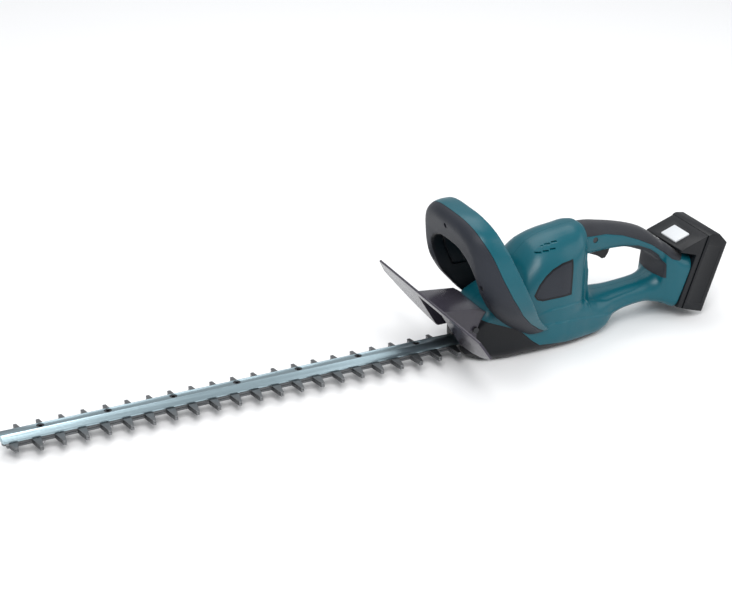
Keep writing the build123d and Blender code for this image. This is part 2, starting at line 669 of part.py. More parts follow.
# --- guard -------------------------------------------------------------------------------
guard_up = Vector(-sin(radians(GUARD_LEAN)), 0, cos(radians(GUARD_LEAN)))
GUARD_FACE = Plane(origin=(GUARD_FOOT[0], 0, GUARD_FOOT[1]), x_dir=(0, 1, 0),
                   z_dir=Vector(0, 1, 0).cross(guard_up))
with BuildPart() as guard:
    with BuildSketch(GUARD_FACE):
        with BuildLine():
            Polyline((-GUARD_HALF, 40), (-GUARD_HALF + 8, GUARD_HEIGHT), (GUARD_HALF - 8, GUARD_HEIGHT),
                     (GUARD_HALF, 40))
            ThreePointArc((GUARD_HALF, 40), (0, 2), (-GUARD_HALF, 40))
        make_face()
    extrude(amount=GUARD_THICK)
    with BuildSketch(Plane.XZ):
        with BuildLine():
            Polyline((-100, 72), (-98, 75), (-52, 70), (-40, 62), (-40, 27), (-72, 27), (-74.5, 31),
                     close=True)
        make_face()
    extrude(amount=30, both=True)
    with BuildSketch(Plane.XZ):
        with BuildLine():
            Polyline((-120, 40), (-96.5, 72.5), (-52, 67.5), (-38, 59), (-38, 20), (-74, 20), close=True)
        make_face()
    extrude(amount=27.5, both=True, mode=Mode.SUBTRACT)
    add(outer_form.part, mode=Mode.SUBTRACT)
save(guard, "guard")

with BuildPart() as guard_screws:
    for side in (-1, 1):
        with BuildSketch(Plane.XZ.offset(side * 30)):
            with Locations((-56, 44)):
                Circle(3.6)
        extrude(amount=side * 2.4)
save(guard_screws, "guard_screws")

with BuildPart() as handle_screws:
    for x, y, z in HANDLE_SCREWS:
        with BuildSketch(Plane.YZ.offset(x + 3)):
            with Locations((y, z)):
                Circle(2.9)
        extrude(amount=2)
        with BuildSketch(Plane.YZ.offset(x + 5)):
            with Locations((y, z)):
                Circle(1.6)
        extrude(amount=16)
save(handle_screws, "handle_screws")

# --- rear trigger and electrics ----------------------------------------------------------
TRIGGER_PIVOT = (108.0, 111.0)
with BuildPart() as rear_trigger:
    with BuildSketch(Plane.XZ):
        with BuildLine():
            Polyline((105, 113.5), (105, 99.5), (111, 97), (119, 93.5), (126, 88.5), (130, 88.8), (134, 95),
                     (135.5, 100), (135.5, 107), (121, 109), (111, 113.5), close=True)
        make_face()
    extrude(amount=8, both=True)
    fillet(rear_trigger.edges().group_by(Axis.Z)[0], 1.2)
    with Locations(Location((TRIGGER_PIVOT[0], 0, TRIGGER_PIVOT[1]), (90, 0, 0))):
        Cylinder(1.55, 40, mode=Mode.SUBTRACT)
save(rear_trigger, "rear_trigger")

with BuildPart() as trigger_pin:
    with Locations(Location((TRIGGER_PIVOT[0], 0, TRIGGER_PIVOT[1]), (90, 0, 0))):
        Cylinder(1.5, 30.4)
save(trigger_pin, "trigger_pin")

with BuildPart() as main_switch:
    with Locations((141, 0, 117)):
        Box(28, 18, 8)
save(main_switch, "main_switch")

with BuildPart() as control_board:
    with Locations((80, 0, 96)):
        Box(1.6, 30, 40)
    with Locations((83, 5, 104)):
        Box(4.4, 9, 12)
    with Locations((82.8, -8, 88)):
        Box(4, 7, 7)
save(control_board, "control_board")

with BuildPart() as front_switch:
    with Locations((-58, 26, 164)):
        Box(9, 16, 8)
save(front_switch, "front_switch")

# --- battery -----------------------------------------------------------------------------
def battery_outline(*points):
    """A side outline given on the battery's tilted axes."""
    return side_outline([tilted(rearward, upward) for rearward, upward in points], smooth=False)


NOSE_LOW = (181.0, 154.0)       # the battery's nose slopes up from here to its top
NOSE_HIGH = (217.0, 180.5)
nose_run = Vector(NOSE_HIGH[0] - NOSE_LOW[0], NOSE_HIGH[1] - NOSE_LOW[1]).normalized()
nose_normal = Vector(-nose_run.Y, nose_run.X)


def on_nose(along, out):
    """A point this far up the nose's slope from its lower edge, and this far out of it."""
    place = Vector(*NOSE_LOW) + nose_run * along + nose_normal * out
    return (place.X, place.Y)


split_top = on_nose((BATTERY_SPLIT - NOSE_LOW[0]) / nose_run.X, 0)
with BuildPart() as battery_case:
    extrude(battery_outline((BATTERY_SPLIT, BATTERY_BOTTOM), (BATTERY_BACK, BATTERY_BOTTOM),
                            (BATTERY_BACK, BATTERY_TOP - 11), (228, BATTERY_TOP - 1), NOSE_HIGH, split_top),
            amount=BATTERY_HALF, both=True)
    fillet(battery_case.faces().sort_by(Axis((0, 0, 0), REARWARD))[-1].edges(), 4)
    extrude(battery_outline((BATTERY_SPLIT - 1, BATTERY_BOTTOM + 1.7),
                            (BATTERY_BACK - 1.7, BATTERY_BOTTOM + 1.7),
                            (BATTERY_BACK - 1.7, 171.6), (235.5, 176.3), (BATTERY_SPLIT - 1, 175.5)),
            amount=BATTERY_HALF - 2, both=True, mode=Mode.SUBTRACT)
save(battery_case, "battery_case")

BUTTON_AT = (6.0, 27.0)         # the button's lower and upper edge, up the slope
BUTTON_HALF = 15.0
BUTTON_DEPTH = 3.0
BUTTON_TRAVEL = 2.0
with BuildPart() as battery_cover:
    extrude(battery_outline((BATTERY_FACE, BATTERY_BOTTOM), (BATTERY_SPLIT, BATTERY_BOTTOM), split_top,
                            NOSE_LOW,
                            (NOSE_LOW[0], NOSE_LOW[1] - 2.5), (BATTERY_FACE, NOSE_LOW[1] - 2.5)),
            amount=BATTERY_HALF - 1, both=True)
    extrude(battery_outline((BATTERY_FACE + 2, BATTERY_BOTTOM + 1.7), (BATTERY_SPLIT, BATTERY_BOTTOM + 1.7),
                            (BATTERY_SPLIT, 175.5), (BATTERY_FACE + 2, 170.5)),
            amount=BATTERY_HALF - 3.5, both=True, mode=Mode.SUBTRACT)
    low, high = BUTTON_AT
    pocket_floor = -BUTTON_DEPTH - BUTTON_TRAVEL - 0.5
    extrude(battery_outline(on_nose(low - 0.3, 5), on_nose(low - 0.3, pocket_floor),
                            on_nose(high + 0.3, pocket_floor), on_nose(high + 0.3, 5)),
            amount=BUTTON_HALF + 0.3, both=True, mode=Mode.SUBTRACT)
    rail_tongue(0, RAIL_BOTTOM + 1, NOSE_LOW[1] - 2.5)
save(battery_cover, "battery_cover")

with BuildPart() as battery_button:
    extrude(battery_outline(on_nose(low, 1.2), on_nose(low, -BUTTON_DEPTH), on_nose(high, -BUTTON_DEPTH),
                            on_nose(high, 1.2)), amount=BUTTON_HALF, both=True)
save(battery_button, "battery_button")

with BuildPart() as battery_cells:
    for row in range(2):
        for number in range(5):
            x, z = tilted(BATTERY_FACE + 2.1 + CELL_R * (1 + 2 * row),
                          84.9 + CELL_R + number * (2 * CELL_R + 0.1))
            with BuildSketch(Plane.XZ):
                with Locations((x, z)):
                    Circle(CELL_R - 0.05)
            extrude(amount=CELL_LENGTH / 2, both=True)
save(battery_cells, "battery_cells")

with BuildPart() as terminal_block:
    battery_prism(FOOT_FACE - 22, FOOT_FACE - 15, 100, 140, 17)
save(terminal_block, "terminal_block")
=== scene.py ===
import bmesh
import bpy
import json
from math import cos, pi, radians, sin, tan
from mathutils import Matrix, Vector


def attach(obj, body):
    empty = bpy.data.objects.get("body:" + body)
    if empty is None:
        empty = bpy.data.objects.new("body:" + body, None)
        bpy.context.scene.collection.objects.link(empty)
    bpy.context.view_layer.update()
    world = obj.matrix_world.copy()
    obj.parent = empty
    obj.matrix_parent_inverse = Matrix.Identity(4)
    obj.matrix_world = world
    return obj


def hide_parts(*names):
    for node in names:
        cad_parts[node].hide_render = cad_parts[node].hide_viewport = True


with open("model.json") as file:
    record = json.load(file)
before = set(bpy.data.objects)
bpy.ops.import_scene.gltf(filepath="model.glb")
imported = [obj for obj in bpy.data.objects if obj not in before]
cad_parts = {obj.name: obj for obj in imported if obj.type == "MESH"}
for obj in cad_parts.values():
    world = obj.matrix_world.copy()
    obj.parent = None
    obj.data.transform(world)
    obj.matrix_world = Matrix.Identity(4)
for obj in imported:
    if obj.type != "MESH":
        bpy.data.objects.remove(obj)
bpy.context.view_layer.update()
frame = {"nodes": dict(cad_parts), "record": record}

MM = 0.001
CREASE = radians(38)        # sharper edges than this keep a hard shading edge
# the pointiness over which sharp edges turn lighter, a painted highlight along them
EDGE_HIGHLIGHT_FROM, EDGE_HIGHLIGHT_TO = 0.54, 0.68
TILT = radians(17.5)
REARWARD = Vector((cos(TILT), 0, -sin(TILT)))      # the battery's tilted axes
UPWARD = Vector((sin(TILT), 0, cos(TILT)))

# --- materials ---------------------------------------------------------------------------


def surface(name, color, roughness, grain=0.0, grain_scale=900.0, tint=0.12, edge_highlight=0.25, metallic=0.0,
            coat=0.0, brushed=None, clear=0.0, sheen=0.0):
    """A moulded, painted or metal finish: blotchy colour, fine grain and sharp edges painted lighter as a
    highlight.
    """
    material = bpy.data.materials.new(name)
    material.use_nodes = True
    nodes, links = material.node_tree.nodes, material.node_tree.links
    shader = nodes["Principled BSDF"]
    shader.inputs["Metallic"].default_value = metallic
    shader.inputs["Specular IOR Level"].default_value = 0.5 if metallic else 0.3
    shader.inputs["Coat Weight"].default_value = coat
    shader.inputs["Coat Roughness"].default_value = 0.25
    shader.inputs["Transmission Weight"].default_value = clear
    shader.inputs["Sheen Weight"].default_value = sheen
    place = nodes.new("ShaderNodeTexCoord")
    mapping = nodes.new("ShaderNodeMapping")
    links.new(place.outputs["Object"], mapping.inputs["Vector"])
    if brushed:
        mapping.inputs["Scale"].default_value = brushed

    blotch = nodes.new("ShaderNodeTexNoise")
    blotch.inputs["Scale"].default_value = 14.0
    blotch.inputs["Detail"].default_value = 5.0
    links.new(place.outputs["Object"], blotch.inputs["Vector"])
    shade = nodes.new("ShaderNodeValToRGB")
    shade.color_ramp.elements[0].position = 0.3
    shade.color_ramp.elements[1].position = 0.7
    shade.color_ramp.elements[0].color = [c * (1 - tint) for c in color] + [1]
    shade.color_ramp.elements[1].color = [min(1, c * (1 + tint)) for c in color] + [1]
    links.new(blotch.outputs["Fac"], shade.inputs["Fac"])

    # sharp convex edges are painted lighter here, standing in for the highlight along them
    edges = nodes.new("ShaderNodeNewGeometry")
    edge_highlight_range = nodes.new("ShaderNodeMapRange")
    edge_highlight_range.inputs["From Min"].default_value = EDGE_HIGHLIGHT_FROM
    edge_highlight_range.inputs["From Max"].default_value = EDGE_HIGHLIGHT_TO
    edge_highlight_range.inputs["To Max"].default_value = edge_highlight
    links.new(edges.outputs["Pointiness"], edge_highlight_range.inputs["Value"])
    mix = nodes.new("ShaderNodeMix")
    mix.data_type = "RGBA"
    mix.inputs["B"].default_value = [min(1, 0.12 + c * 1.5) for c in color] + [1]
    links.new(edge_highlight_range.outputs["Result"], mix.inputs["Factor"])
    links.new(shade.outputs["Color"], mix.inputs["A"])
    links.new(mix.outputs["Result"], shader.inputs["Base Color"])

    fine = nodes.new("ShaderNodeTexNoise")
    fine.inputs["Scale"].default_value = grain_scale
    fine.inputs["Detail"].default_value = 3.0
    links.new(mapping.outputs["Vector"], fine.inputs["Vector"])
    rough = nodes.new("ShaderNodeMapRange")
    rough.inputs["To Min"].default_value = roughness * 0.85
    rough.inputs["To Max"].default_value = min(1, roughness * 1.15)
    links.new(fine.outputs["Fac"], rough.inputs["Value"])
    links.new(rough.outputs["Result"], shader.inputs["Roughness"])
    bump = nodes.new("ShaderNodeBump")
    bump.inputs["Strength"].default_value = grain
    bump.inputs["Distance"].default_value = 0.0004
    links.new(fine.outputs["Fac"], bump.inputs["Height"])
    links.new(bump.outputs["Normal"], shader.inputs["Normal"])
    return material


ALONG_BAR = (0.02, 1.0, 1.0)
# each finish's seventh value sets how much lighter its sharp edges are painted, a painted highlight
MATERIALS = {
    "teal_plastic": surface("teal_plastic", (0.001, 0.086, 0.116), 0.34, 0.10, 1400, 0.06, 0.2, coat=0.12),
    "grey_soft": surface("grey_soft", (0.017, 0.019, 0.025), 0.62, 0.55, 1100, 0.15, 0.15, sheen=0.15),
    "grey_plastic": surface("grey_plastic", (0.017, 0.020, 0.028), 0.50, 0.35, 1300, 0.12, 0.2),
    "black_plastic": surface("black_plastic", (0.003, 0.004, 0.006), 0.38, 0.22, 1300, 0.15, 0.2),
    "smoky_plastic": surface("smoky_plastic", (0.050, 0.045, 0.062), 0.25, 0.03, 300, 0.05, 0.1, clear=0.2,
                             coat=0.3),
    "button_plastic": surface("button_plastic", (0.66, 0.68, 0.70), 0.40, 0.2, 1200, 0.04, 0.1),
    "board": surface("board", (0.01, 0.10, 0.04), 0.45, 0.3, 900),
    "cast_aluminium": surface("cast_aluminium", (0.50, 0.51, 0.53), 0.48, 0.6, 700, metallic=1.0),
    # the bar's colour is tinted teal-blue: a painted reflection of the teal body in the plated bar
    "nickel_bar": surface("nickel_bar", (0.34, 0.44, 0.48), 0.30, 0.25, 900, 0.05, 0.3, metallic=1.0,
                          brushed=ALONG_BAR),
    "blade_steel": surface("blade_steel", (0.13, 0.135, 0.14), 0.40, 0.4, 900, 0.15, 0.6, metallic=1.0,
                           brushed=ALONG_BAR),
    "plain_steel": surface("plain_steel", (0.42, 0.42, 0.43), 0.35, 0.3, 700, metallic=1.0),
    "dark_screws": surface("dark_screws", (0.035, 0.036, 0.040), 0.40, 0.3, 900, metallic=0.8),
    "cell_wrap": surface("cell_wrap", (0.02, 0.16, 0.06), 0.35, 0.1, 700),
}
node_slots = {entry["node"]: entry["material_slot"] for entry in frame["record"]["subparts"]}
for node, slot in node_slots.items():
    mesh = frame["nodes"][node].data
    mesh.materials.clear()
    mesh.materials.append(MATERIALS[slot])


# --- making pieces -----------------------------------------------------------------------
def new_object(name, vertices, faces):
    """A mesh object from points in metres."""
    mesh = bpy.data.meshes.new(name)
    mesh.from_pydata([tuple(v) for v in vertices], [], faces)
    made = bpy.data.objects.new(name, mesh)
    bpy.context.scene.collection.objects.link(made)
    work = bmesh.new()
    work.from_mesh(mesh)
    bmesh.ops.recalc_face_normals(work, faces=work.faces)
    work.to_mesh(mesh)
    work.free()
    return made


def settle(piece):
    """Turns a piece's modifiers into its mesh."""
    seen = piece.evaluated_get(bpy.context.evaluated_depsgraph_get())
    mesh = bpy.data.meshes.new_from_object(seen)
    piece.modifiers.clear()
    old, piece.data = piece.data, mesh
    bpy.data.meshes.remove(old)
    return piece


def copied(name, *nodes):
    """One welded mesh of these CAD nodes."""
    work = bmesh.new()
    for node in nodes:
        work.from_mesh(frame["nodes"][node].data)
    bmesh.ops.remove_doubles(work, verts=work.verts, dist=0.00001)
    bmesh.ops.dissolve_limit(work, angle_limit=radians(0.5), verts=work.verts, edges=work.edges)
    mesh = bpy.data.meshes.new(name)
    work.to_mesh(mesh)
    work.free()
    made = bpy.data.objects.new(name, mesh)
    bpy.context.scene.collection.objects.link(made)
    return made


def smoothed(piece, voxel, rounds):
    """A piece remeshed finely, with its edges rounded."""
    remesh = piece.modifiers.new("remesh", "REMESH")
    remesh.mode = "VOXEL"
    remesh.voxel_size = voxel
    soften = piece.modifiers.new("soften", "SMOOTH")
    soften.factor = 0.5
    soften.iterations = rounds
    return settle(piece)


def combined(piece, other, operation):
    """A piece cut by, or kept only inside, another, which is used up."""
    cut = piece.modifiers.new("cut", "BOOLEAN")
    cut.object = other
    cut.operation = operation
    cut.solver = "MANIFOLD"
    settle(piece)
    old = other.data
    bpy.data.objects.remove(other)
    bpy.data.meshes.remove(old)
    return piece


def twin(piece, name):
    """A second piece with its own copy of the mesh."""
    made = bpy.data.objects.new(name, piece.data.copy())
    bpy.context.scene.collection.objects.link(made)
    return made


def bevelled(piece, width, segments, angle):
    """A piece with its edges sharper than angle rounded off."""
    bevel = piece.modifiers.new("bevel", "BEVEL")
    bevel.width = width
    bevel.segments = segments
    bevel.limit_method = "ANGLE"
    bevel.angle_limit = radians(angle)
    return settle(piece)


def finished(piece, body, slot, *nodes):
    """Gives a piece its finish, its body and the CAD nodes that it stands for."""
    piece.data.materials.clear()
    piece.data.materials.append(MATERIALS[slot])
    work = bmesh.new()
    work.from_mesh(piece.data)
    for face in work.faces:
        face.smooth = True
    for edge in work.edges:
        edge.smooth = len(edge.link_faces) != 2 or edge.calc_face_angle(0) < CREASE
    work.to_mesh(piece.data)
    work.free()
    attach(piece, body)
    if nodes:
        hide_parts(*nodes)
    return piece


def prism(outline, near, far):
    """A block standing across the tool from a side outline in millimetres, between two y values."""
    count = len(outline)
    vertices = [Vector((x, y, z)) * MM for y in (near, far) for x, z in outline]
    faces = [list(range(count)), list(range(count, 2 * count))]
    faces += [(n, (n + 1) % count, count + (n + 1) % count, count + n) for n in range(count)]
    return new_object("prism", vertices, faces)


def rod(start, end, radius, sides=24):
    """A cutting rod between two points in millimetres."""
    start, end = Vector(start), Vector(end)
    turn = (end - start).to_track_quat("Z", "Y")
    ring = [turn @ Vector((radius * cos(2 * pi * n / sides), radius * sin(2 * pi * n / sides), 0))
            for n in range(sides)]
    vertices = [(base + p) * MM for base in (start, end) for p in ring]
    faces = [list(range(sides)), list(range(sides, 2 * sides))]
    faces += [(n, (n + 1) % sides, sides + (n + 1) % sides, sides + n) for n in range(sides)]
    return new_object("rod", vertices, faces)


def grown(outline, amount):
    """A side outline with each side moved outward by amount."""
    area = sum(a[0] * b[1] - b[0] * a[1] for a, b in zip(outline, outline[1:] + outline[:1]))
    sign = 1 if area > 0 else -1
    moved = []
    for number, corner in enumerate(outline):
        point = Vector(corner)
        before = (point - Vector(outline[number - 1])).normalized()
        after = (Vector(outline[(number + 1) % len(outline)]) - point).normalized()
        a, b = Vector((before.y, -before.x)) * sign, Vector((after.y, -after.x)) * sign
        away = (a + b).normalized()
        place = point + away * amount / max(0.4, away.dot(a))
        moved.append((place.x, place.y))
    return moved


def tilted(rearward, upward):
    """The (x, z) point at these distances along the battery's axes."""
    place = REARWARD * rearward + UPWARD * upward
    return (place.x, place.z)


def across(near, far, bottom, top, half):
    """A block on the battery's axes."""
    corners = [tilted(near, bottom), tilted(far, bottom), tilted(far, top), tilted(near, top)]
    return prism(corners, -half, half)


# --- the body's skin ----------------------------------------------------------------------
# the tables from here to the battery are in millimetres; voxel and bevel sizes are in metres
# sections from nose to battery foot: x, underside, top, half width, lower and upper radius
BODY = [
    (-62, 8, 44, 25, 11, 11), (-42, 2, 68, 36, 14, 18), (-14, 0, 84, 41, 16, 28),
    (-2, 0, 98, 42, 17, 34), (8, 0, 114, 42.5, 18, 37), (26, 0, 130, 43, 18, 40),
    (48, 0, 137, 43, 18, 41), (66, 0, 139.5, 41, 18, 39), (82, 0, 141, 35, 16, 30),
    (92, 0, 140.5, 26, 14, 22), (96, 0, 56, 35, 15, 27), (110, 1, 49, 33, 14, 26),
    (124, 4, 47, 29, 13, 22), (139, 17, 47, 23, 11, 17), (158, 22, 48, 20.5, 9, 15),
    (184, 24, 50, 21, 9, 15), (202, 21, 58, 25, 10, 18), (206, 20, 97, 27, 11, 18),
    (226, 12, 84, 33.5, 11, 18), (252, 6, 76, 35.5, 11, 18),
]
GRIP = [
    (84, 101, 138, 19.5, 10, 17), (104, 101, 137.5, 19, 10, 17), (125, 101, 134, 17.5, 10, 16),
    (150, 100, 128, 17, 10, 15), (175, 92, 119.5, 17.5, 10, 15), (192, 84, 110, 19.5, 10, 15),
    (206, 72, 96.4, 22, 9, 11), (212, 68, 90, 23, 8, 8),
]
LOWER = [
    (30, 0, 74, 42.5, 18, 30), (60, 0, 68, 42, 17, 30), (82, 0, 60, 39, 16, 28), (96, 0, 55, 35.6, 15, 27),
    (110, 1, 49, 33, 14, 26),
]
# side outlines of the pieces that the body's skin is split into
BASE = [(-80, 66), (-56, 58), (-24, 46), (-4, 38), (12, 22), (24, 13), (60, 8), (116, 6), (116, -5),
        (-80, -5)]
OVERMOULD = [(94, 170), (95, 126), (122, 124), (146, 118), (168, 109), (188, 99), (203, 88),
             (212, 80), (222, 77), (231, 82), (231, 170)]
OUTSIDE = 60                # beyond the body on either side
BADGE_DEPTH = 33            # how near the middle a badge reaches
BADGE_SIDES = {"left": (-OUTSIDE, -BADGE_DEPTH), "right": (BADGE_DEPTH, OUTSIDE)}
BADGE_RIM, BADGE_INSET = 2.1, 2.4
BADGE = [(64, 113), (64, 69), (24, 69), (16, 72), (12, 78), (18, 90), (26, 99), (36, 106), (49, 111)]
VENTS = [(30, 128), (38.5, 129.5), (47, 131), (25, 122.5), (33.5, 124), (42, 125.5)]
VENT_SLOT = [(-3.6, -1.2), (3.2, -0.6), (3.6, 1.0), (-3.2, 0.4)]
VENT_DEPTH = 20             # how near the middle the vents reach
GRIP_SCREW = (107, 120)
GRIP_SCREW_R = 3.6
GRIP_SCREW_DEPTH = 15
# room on the battery's axes: near, far, bottom, top and half width
BATTERY_ROOM = [
    (205, 420, -60, 260, 80),           # all that lies behind the foot's face
    (200.1, 206, 92.6, 260, 15.4),      # the neck of the battery's rail
    (195.6, 200.9, 92.6, 260, 19.4),    # its head
]
# room inside the body: x from and to, z from and to, and half width
INNER_ROOM = [
    (-90, -36, 11.9, 22.3, 10.7),       # the bar and blades at the nose
    (-38, 50, 11.5, 19, 26),            # the blades' yokes
    (103.5, 137, 94, 115, 8.6),         # the trigger
]
INNER_PAD = [(140, 95), (144, 104), (170, 101), (188, 93), (198, 85), (206, 74), (207, 56), (188, 56),
             (186, 80), (160, 92)]
SWELL_LINES = ([(8, 50), (40, 57), (70, 57), (100, 48), (130, 41), (160, 43), (188, 49)],
               [(20, 40), (45, 38), (75, 36), (105, 30), (135, 27), (160, 31), (188, 36)])
SWELL = 1.5                 # how far the body stands proud below each flowing crease
SWELL_EDGE = 1.5            # the height over which it comes to stand proud
SWELL_REACH = 22            # the height over which it falls back
SWELL_FROM, SWELL_GROWS = 8, 30
SWELL_TO, SWELL_FADES = 188, 40
SWELL_CLEAR = 8             # the middle strip that no crease touches
SEAM = 0.25
HALF_GAP = 0.15             # half the seam between the casing halves
STEP = 2.0
BODY_VOXEL, LOOP_VOXEL, LEVER_VOXEL, TRIGGER_VOXEL = 0.0013, 0.0014, 0.001, 0.0005


def between(table, x, column):
    """A value read from a table at x, on a curve that never overshoots the table's own values."""
    xs = [row[0] for row in table]
    ys = [row[column] for row in table]
    rise = [(ys[n + 1] - ys[n]) / (xs[n + 1] - xs[n]) for n in range(len(xs) - 1)]
    slope = [rise[0]]
    for n in range(1, len(rise)):
        same = rise[n - 1] * rise[n] > 0
        slope.append(2 * rise[n - 1] * rise[n] / (rise[n - 1] + rise[n]) if same else 0.0)
    slope.append(rise[-1])
    x = min(max(x, xs[0]), xs[-1])
    n = max(i for i in range(len(xs) - 1) if xs[i] <= x)
    gap = xs[n + 1] - xs[n]
    t = (x - xs[n]) / gap
    return ((2 * t ** 3 - 3 * t ** 2 + 1) * ys[n] + (t ** 3 - 2 * t ** 2 + t) * gap * slope[n]
            + (3 * t ** 2 - 2 * t ** 3) * ys[n + 1] + (t ** 3 - t ** 2) * gap * slope[n + 1])


def skin(table):
    """A closed form through rounded sections, curved smoothly from each to the next."""
    rings = []
    count = int((table[-1][0] - table[0][0]) / STEP)
    for number in range(count + 1):
        x = table[0][0] + (table[-1][0] - table[0][0]) * number / count
        low, high, half, low_r, high_r = (between(table, x, column) for column in range(1, 6))
        ring = []
        for side, end, radius in ((1, 1, high_r), (-1, 1, high_r), (-1, -1, low_r), (1, -1, low_r)):
            middle = (side * (half - radius), (high - radius) if end > 0 else (low + radius))
            first = {(1, 1): 0, (-1, 1): 90, (-1, -1): 180, (1, -1): 270}[(side, end)]
            for turn in range(0, 91, 9):
                angle = radians(first + turn)
                place = (x, middle[0] + radius * cos(angle), middle[1] + radius * sin(angle))
                ring.append(Vector(place) * MM)
        rings.append(ring)
    size = len(rings[0])
    faces = [list(range(size)), list(range(count * size, (count + 1) * size))]
    for number in range(count):
        for n in range(size):
            a, b = number * size + n, number * size + (n + 1) % size
            faces.append((a, b, b + size, a + size))
    return new_object("skin", [v for ring in rings for v in ring], faces)


def joined(first, *others):
    """Several meshes in one, with the others used up."""
    work = bmesh.new()
    work.from_mesh(first.data)
    for other in others:
        work.from_mesh(other.data)
        bpy.data.objects.remove(other)
    work.to_mesh(first.data)
    work.free()
    return first


def kept_inside(name, outline, near=-OUTSIDE, far=OUTSIDE):
    """The part of the body's skin inside a side outline, as a piece of its own."""
    return combined(twin(body, name), prism(outline, near, far), "INTERSECT")


body = smoothed(joined(skin(BODY), skin(GRIP), skin(LOWER)), BODY_VOXEL, 14)
for vertex in body.data.vertices:
    x, y, z = vertex.co / MM
    for line in SWELL_LINES:
        drop = between(line, x, 1) - z
        if abs(y) > SWELL_CLEAR and drop > 0:
            ends = (min(1, max(0, (x - SWELL_FROM) / SWELL_GROWS))
                    * min(1, max(0, (SWELL_TO - x) / SWELL_FADES)))
            swell = SWELL * ends * min(1, drop / SWELL_EDGE) * max(0, 1 - drop / SWELL_REACH)
            vertex.co.y += swell * (1 if y > 0 else -1) * MM
for block in BATTERY_ROOM:
    combined(body, across(*block), "DIFFERENCE")
for near, far, bottom, top, half in INNER_ROOM:
    corners = [(near, bottom), (far, bottom), (far, top), (near, top)]
    combined(body, prism(corners, -half, half), "DIFFERENCE")
x, z = GRIP_SCREW
combined(body, rod((x, -GRIP_SCREW_DEPTH, z), (x, -OUTSIDE, z), GRIP_SCREW_R), "DIFFERENCE")
for x, z in VENTS:
    slot = [(x + across_x, z + across_z) for across_x, across_z in VENT_SLOT]
    for side in (-1, 1):
        combined(body, prism(slot, side * VENT_DEPTH, side * OUTSIDE), "DIFFERENCE")

base_cover = kept_inside("base_cover_skin", grown(BASE, -SEAM))
overmould = kept_inside("grip_overmould_skin", grown(OVERMOULD, -SEAM))
badges = {}
for side, (near, far) in BADGE_SIDES.items():
    badges[side] = kept_inside(f"badge_{side}_skin", grown(BADGE, -BADGE_INSET), near, far)
rims = {}
for side, (near, far) in BADGE_SIDES.items():
    rim = kept_inside(f"badge_{side}_rim", grown(BADGE, -SEAM), near, far)
    rims[side] = combined(rim, prism(grown(BADGE, -BADGE_RIM), -OUTSIDE, OUTSIDE), "DIFFERENCE")
inner_pad = kept_inside("grip_inner_pad", grown(INNER_PAD, -SEAM))
for outline in (BASE, OVERMOULD, INNER_PAD):
    combined(body, prism(outline, -OUTSIDE, OUTSIDE), "DIFFERENCE")
for near, far in BADGE_SIDES.values():
    combined(body, prism(BADGE, near, far), "DIFFERENCE")
halves = {}
whole = [(-90, -10), (300, -10), (300, 200), (-90, 200)]
for side, near, far in (("left", -OUTSIDE, -HALF_GAP), ("right", HALF_GAP, OUTSIDE)):
    halves[side] = kept_inside(f"housing_{side}_skin", whole, near, far)
bpy.data.objects.remove(body)

for side in ("left", "right"):
    finished(halves[side], "tool_body", "teal_plastic", f"housing_{side}")
    finished(badges[side], "tool_body", "grey_plastic", f"badge_{side}")
    finished(rims[side], "tool_body", "black_plastic")
finished(overmould, "tool_body", "grey_soft", "grip_overmould")
finished(inner_pad, "tool_body", "grey_soft")
finished(base_cover, "tool_body", "black_plastic", "base_cover")

# --- front handle ------------------------------------------------------------------------
LOOP_OUTER = [(0, 184), (30, 182.5), (54, 173), (67, 155), (73, 128), (77, 100), (74, 78), (64, 58),
              (53, 40), (45, 24)]
LOOP_INNER = [(0, 147), (24, 144), (41, 134), (49, 118), (50, 100), (46, 80), (40, 60), (36, 40), (34, 24)]
LOOP_FRONT = [(-92, 190), (-84, 168), (-78, 146), (-74, 125), (-67, 103), (-55, 82), (-38, 62), (-18, 44),
              (2, 27)]
LOOP_SEAM = [(-78, 190), (-69, 167), (-60, 149), (-49, 123), (-37, 99), (-20, 73), (-2, 54), (14, 41),
             (28, 32)]
LOOP_REAR = [(-56, 190), (-45, 163), (-31, 133), (-16, 101), (-5, 80), (6, 62), (18, 48), (32, 35)]
HANDLE_SCREWS = [(-83.0, 0, 165.5), (-70.5, -61, 112), (-70.5, 61, 112)]
LEAN = tan(radians(24))
ROUND_IN, ROUND_BACK = 19.0, 27.0       # how far the loop's outer front edge is rounded, in and back
ROUND_STEPS = 10
LINING = 1.6
LINING_GAP = 0.1
LOOP_SEAM_GAP = 0.2
LOOP_WIDE = 100                         # beyond the loop on either side
SCREW_R = 3.1
CHANNEL_AT = (-50.6, 106)               # a point on the front wall of the lever's channel
CHANNEL_HEIGHTS = (90, 172)
CHANNEL_WIDTH = 18.2
CHANNEL_DEPTH = 7.4                     # into the loop's inner face
CHANNEL_LIFT = 4.25                     # room above for the lever's travel


def arch(points, grow, lift=0.0):
    """The loop's outline across the tool from its right half, with its arch grown outward by grow."""
    half = points + [(points[-1][0], points[-1][1] - 30)]
    whole = [(-y, z) for y, z in reversed(half[1:])] + half
    fine = []
    for n in range(len(whole) - 1):
        p = [Vector(whole[min(max(n + k, 0), len(whole) - 1)]) for k in (-1, 0, 1, 2)]
        for part in range(6):
            t = part / 6
            fine.append(0.5 * (2 * p[1] + (p[2] - p[0]) * t
                               + (2 * p[0] - 5 * p[1] + 4 * p[2] - p[3]) * t ** 2
                               + (3 * p[1] - p[0] - 3 * p[2] + p[3]) * t ** 3))
    fine.append(Vector(whole[-1]))
    line = []
    for n, place in enumerate(fine):
        along = (fine[min(n + 1, len(fine) - 1)] - fine[max(n - 1, 0)]).normalized()
        line.append((place.x - along.y * grow, place.y + along.x * grow + lift))
    return line


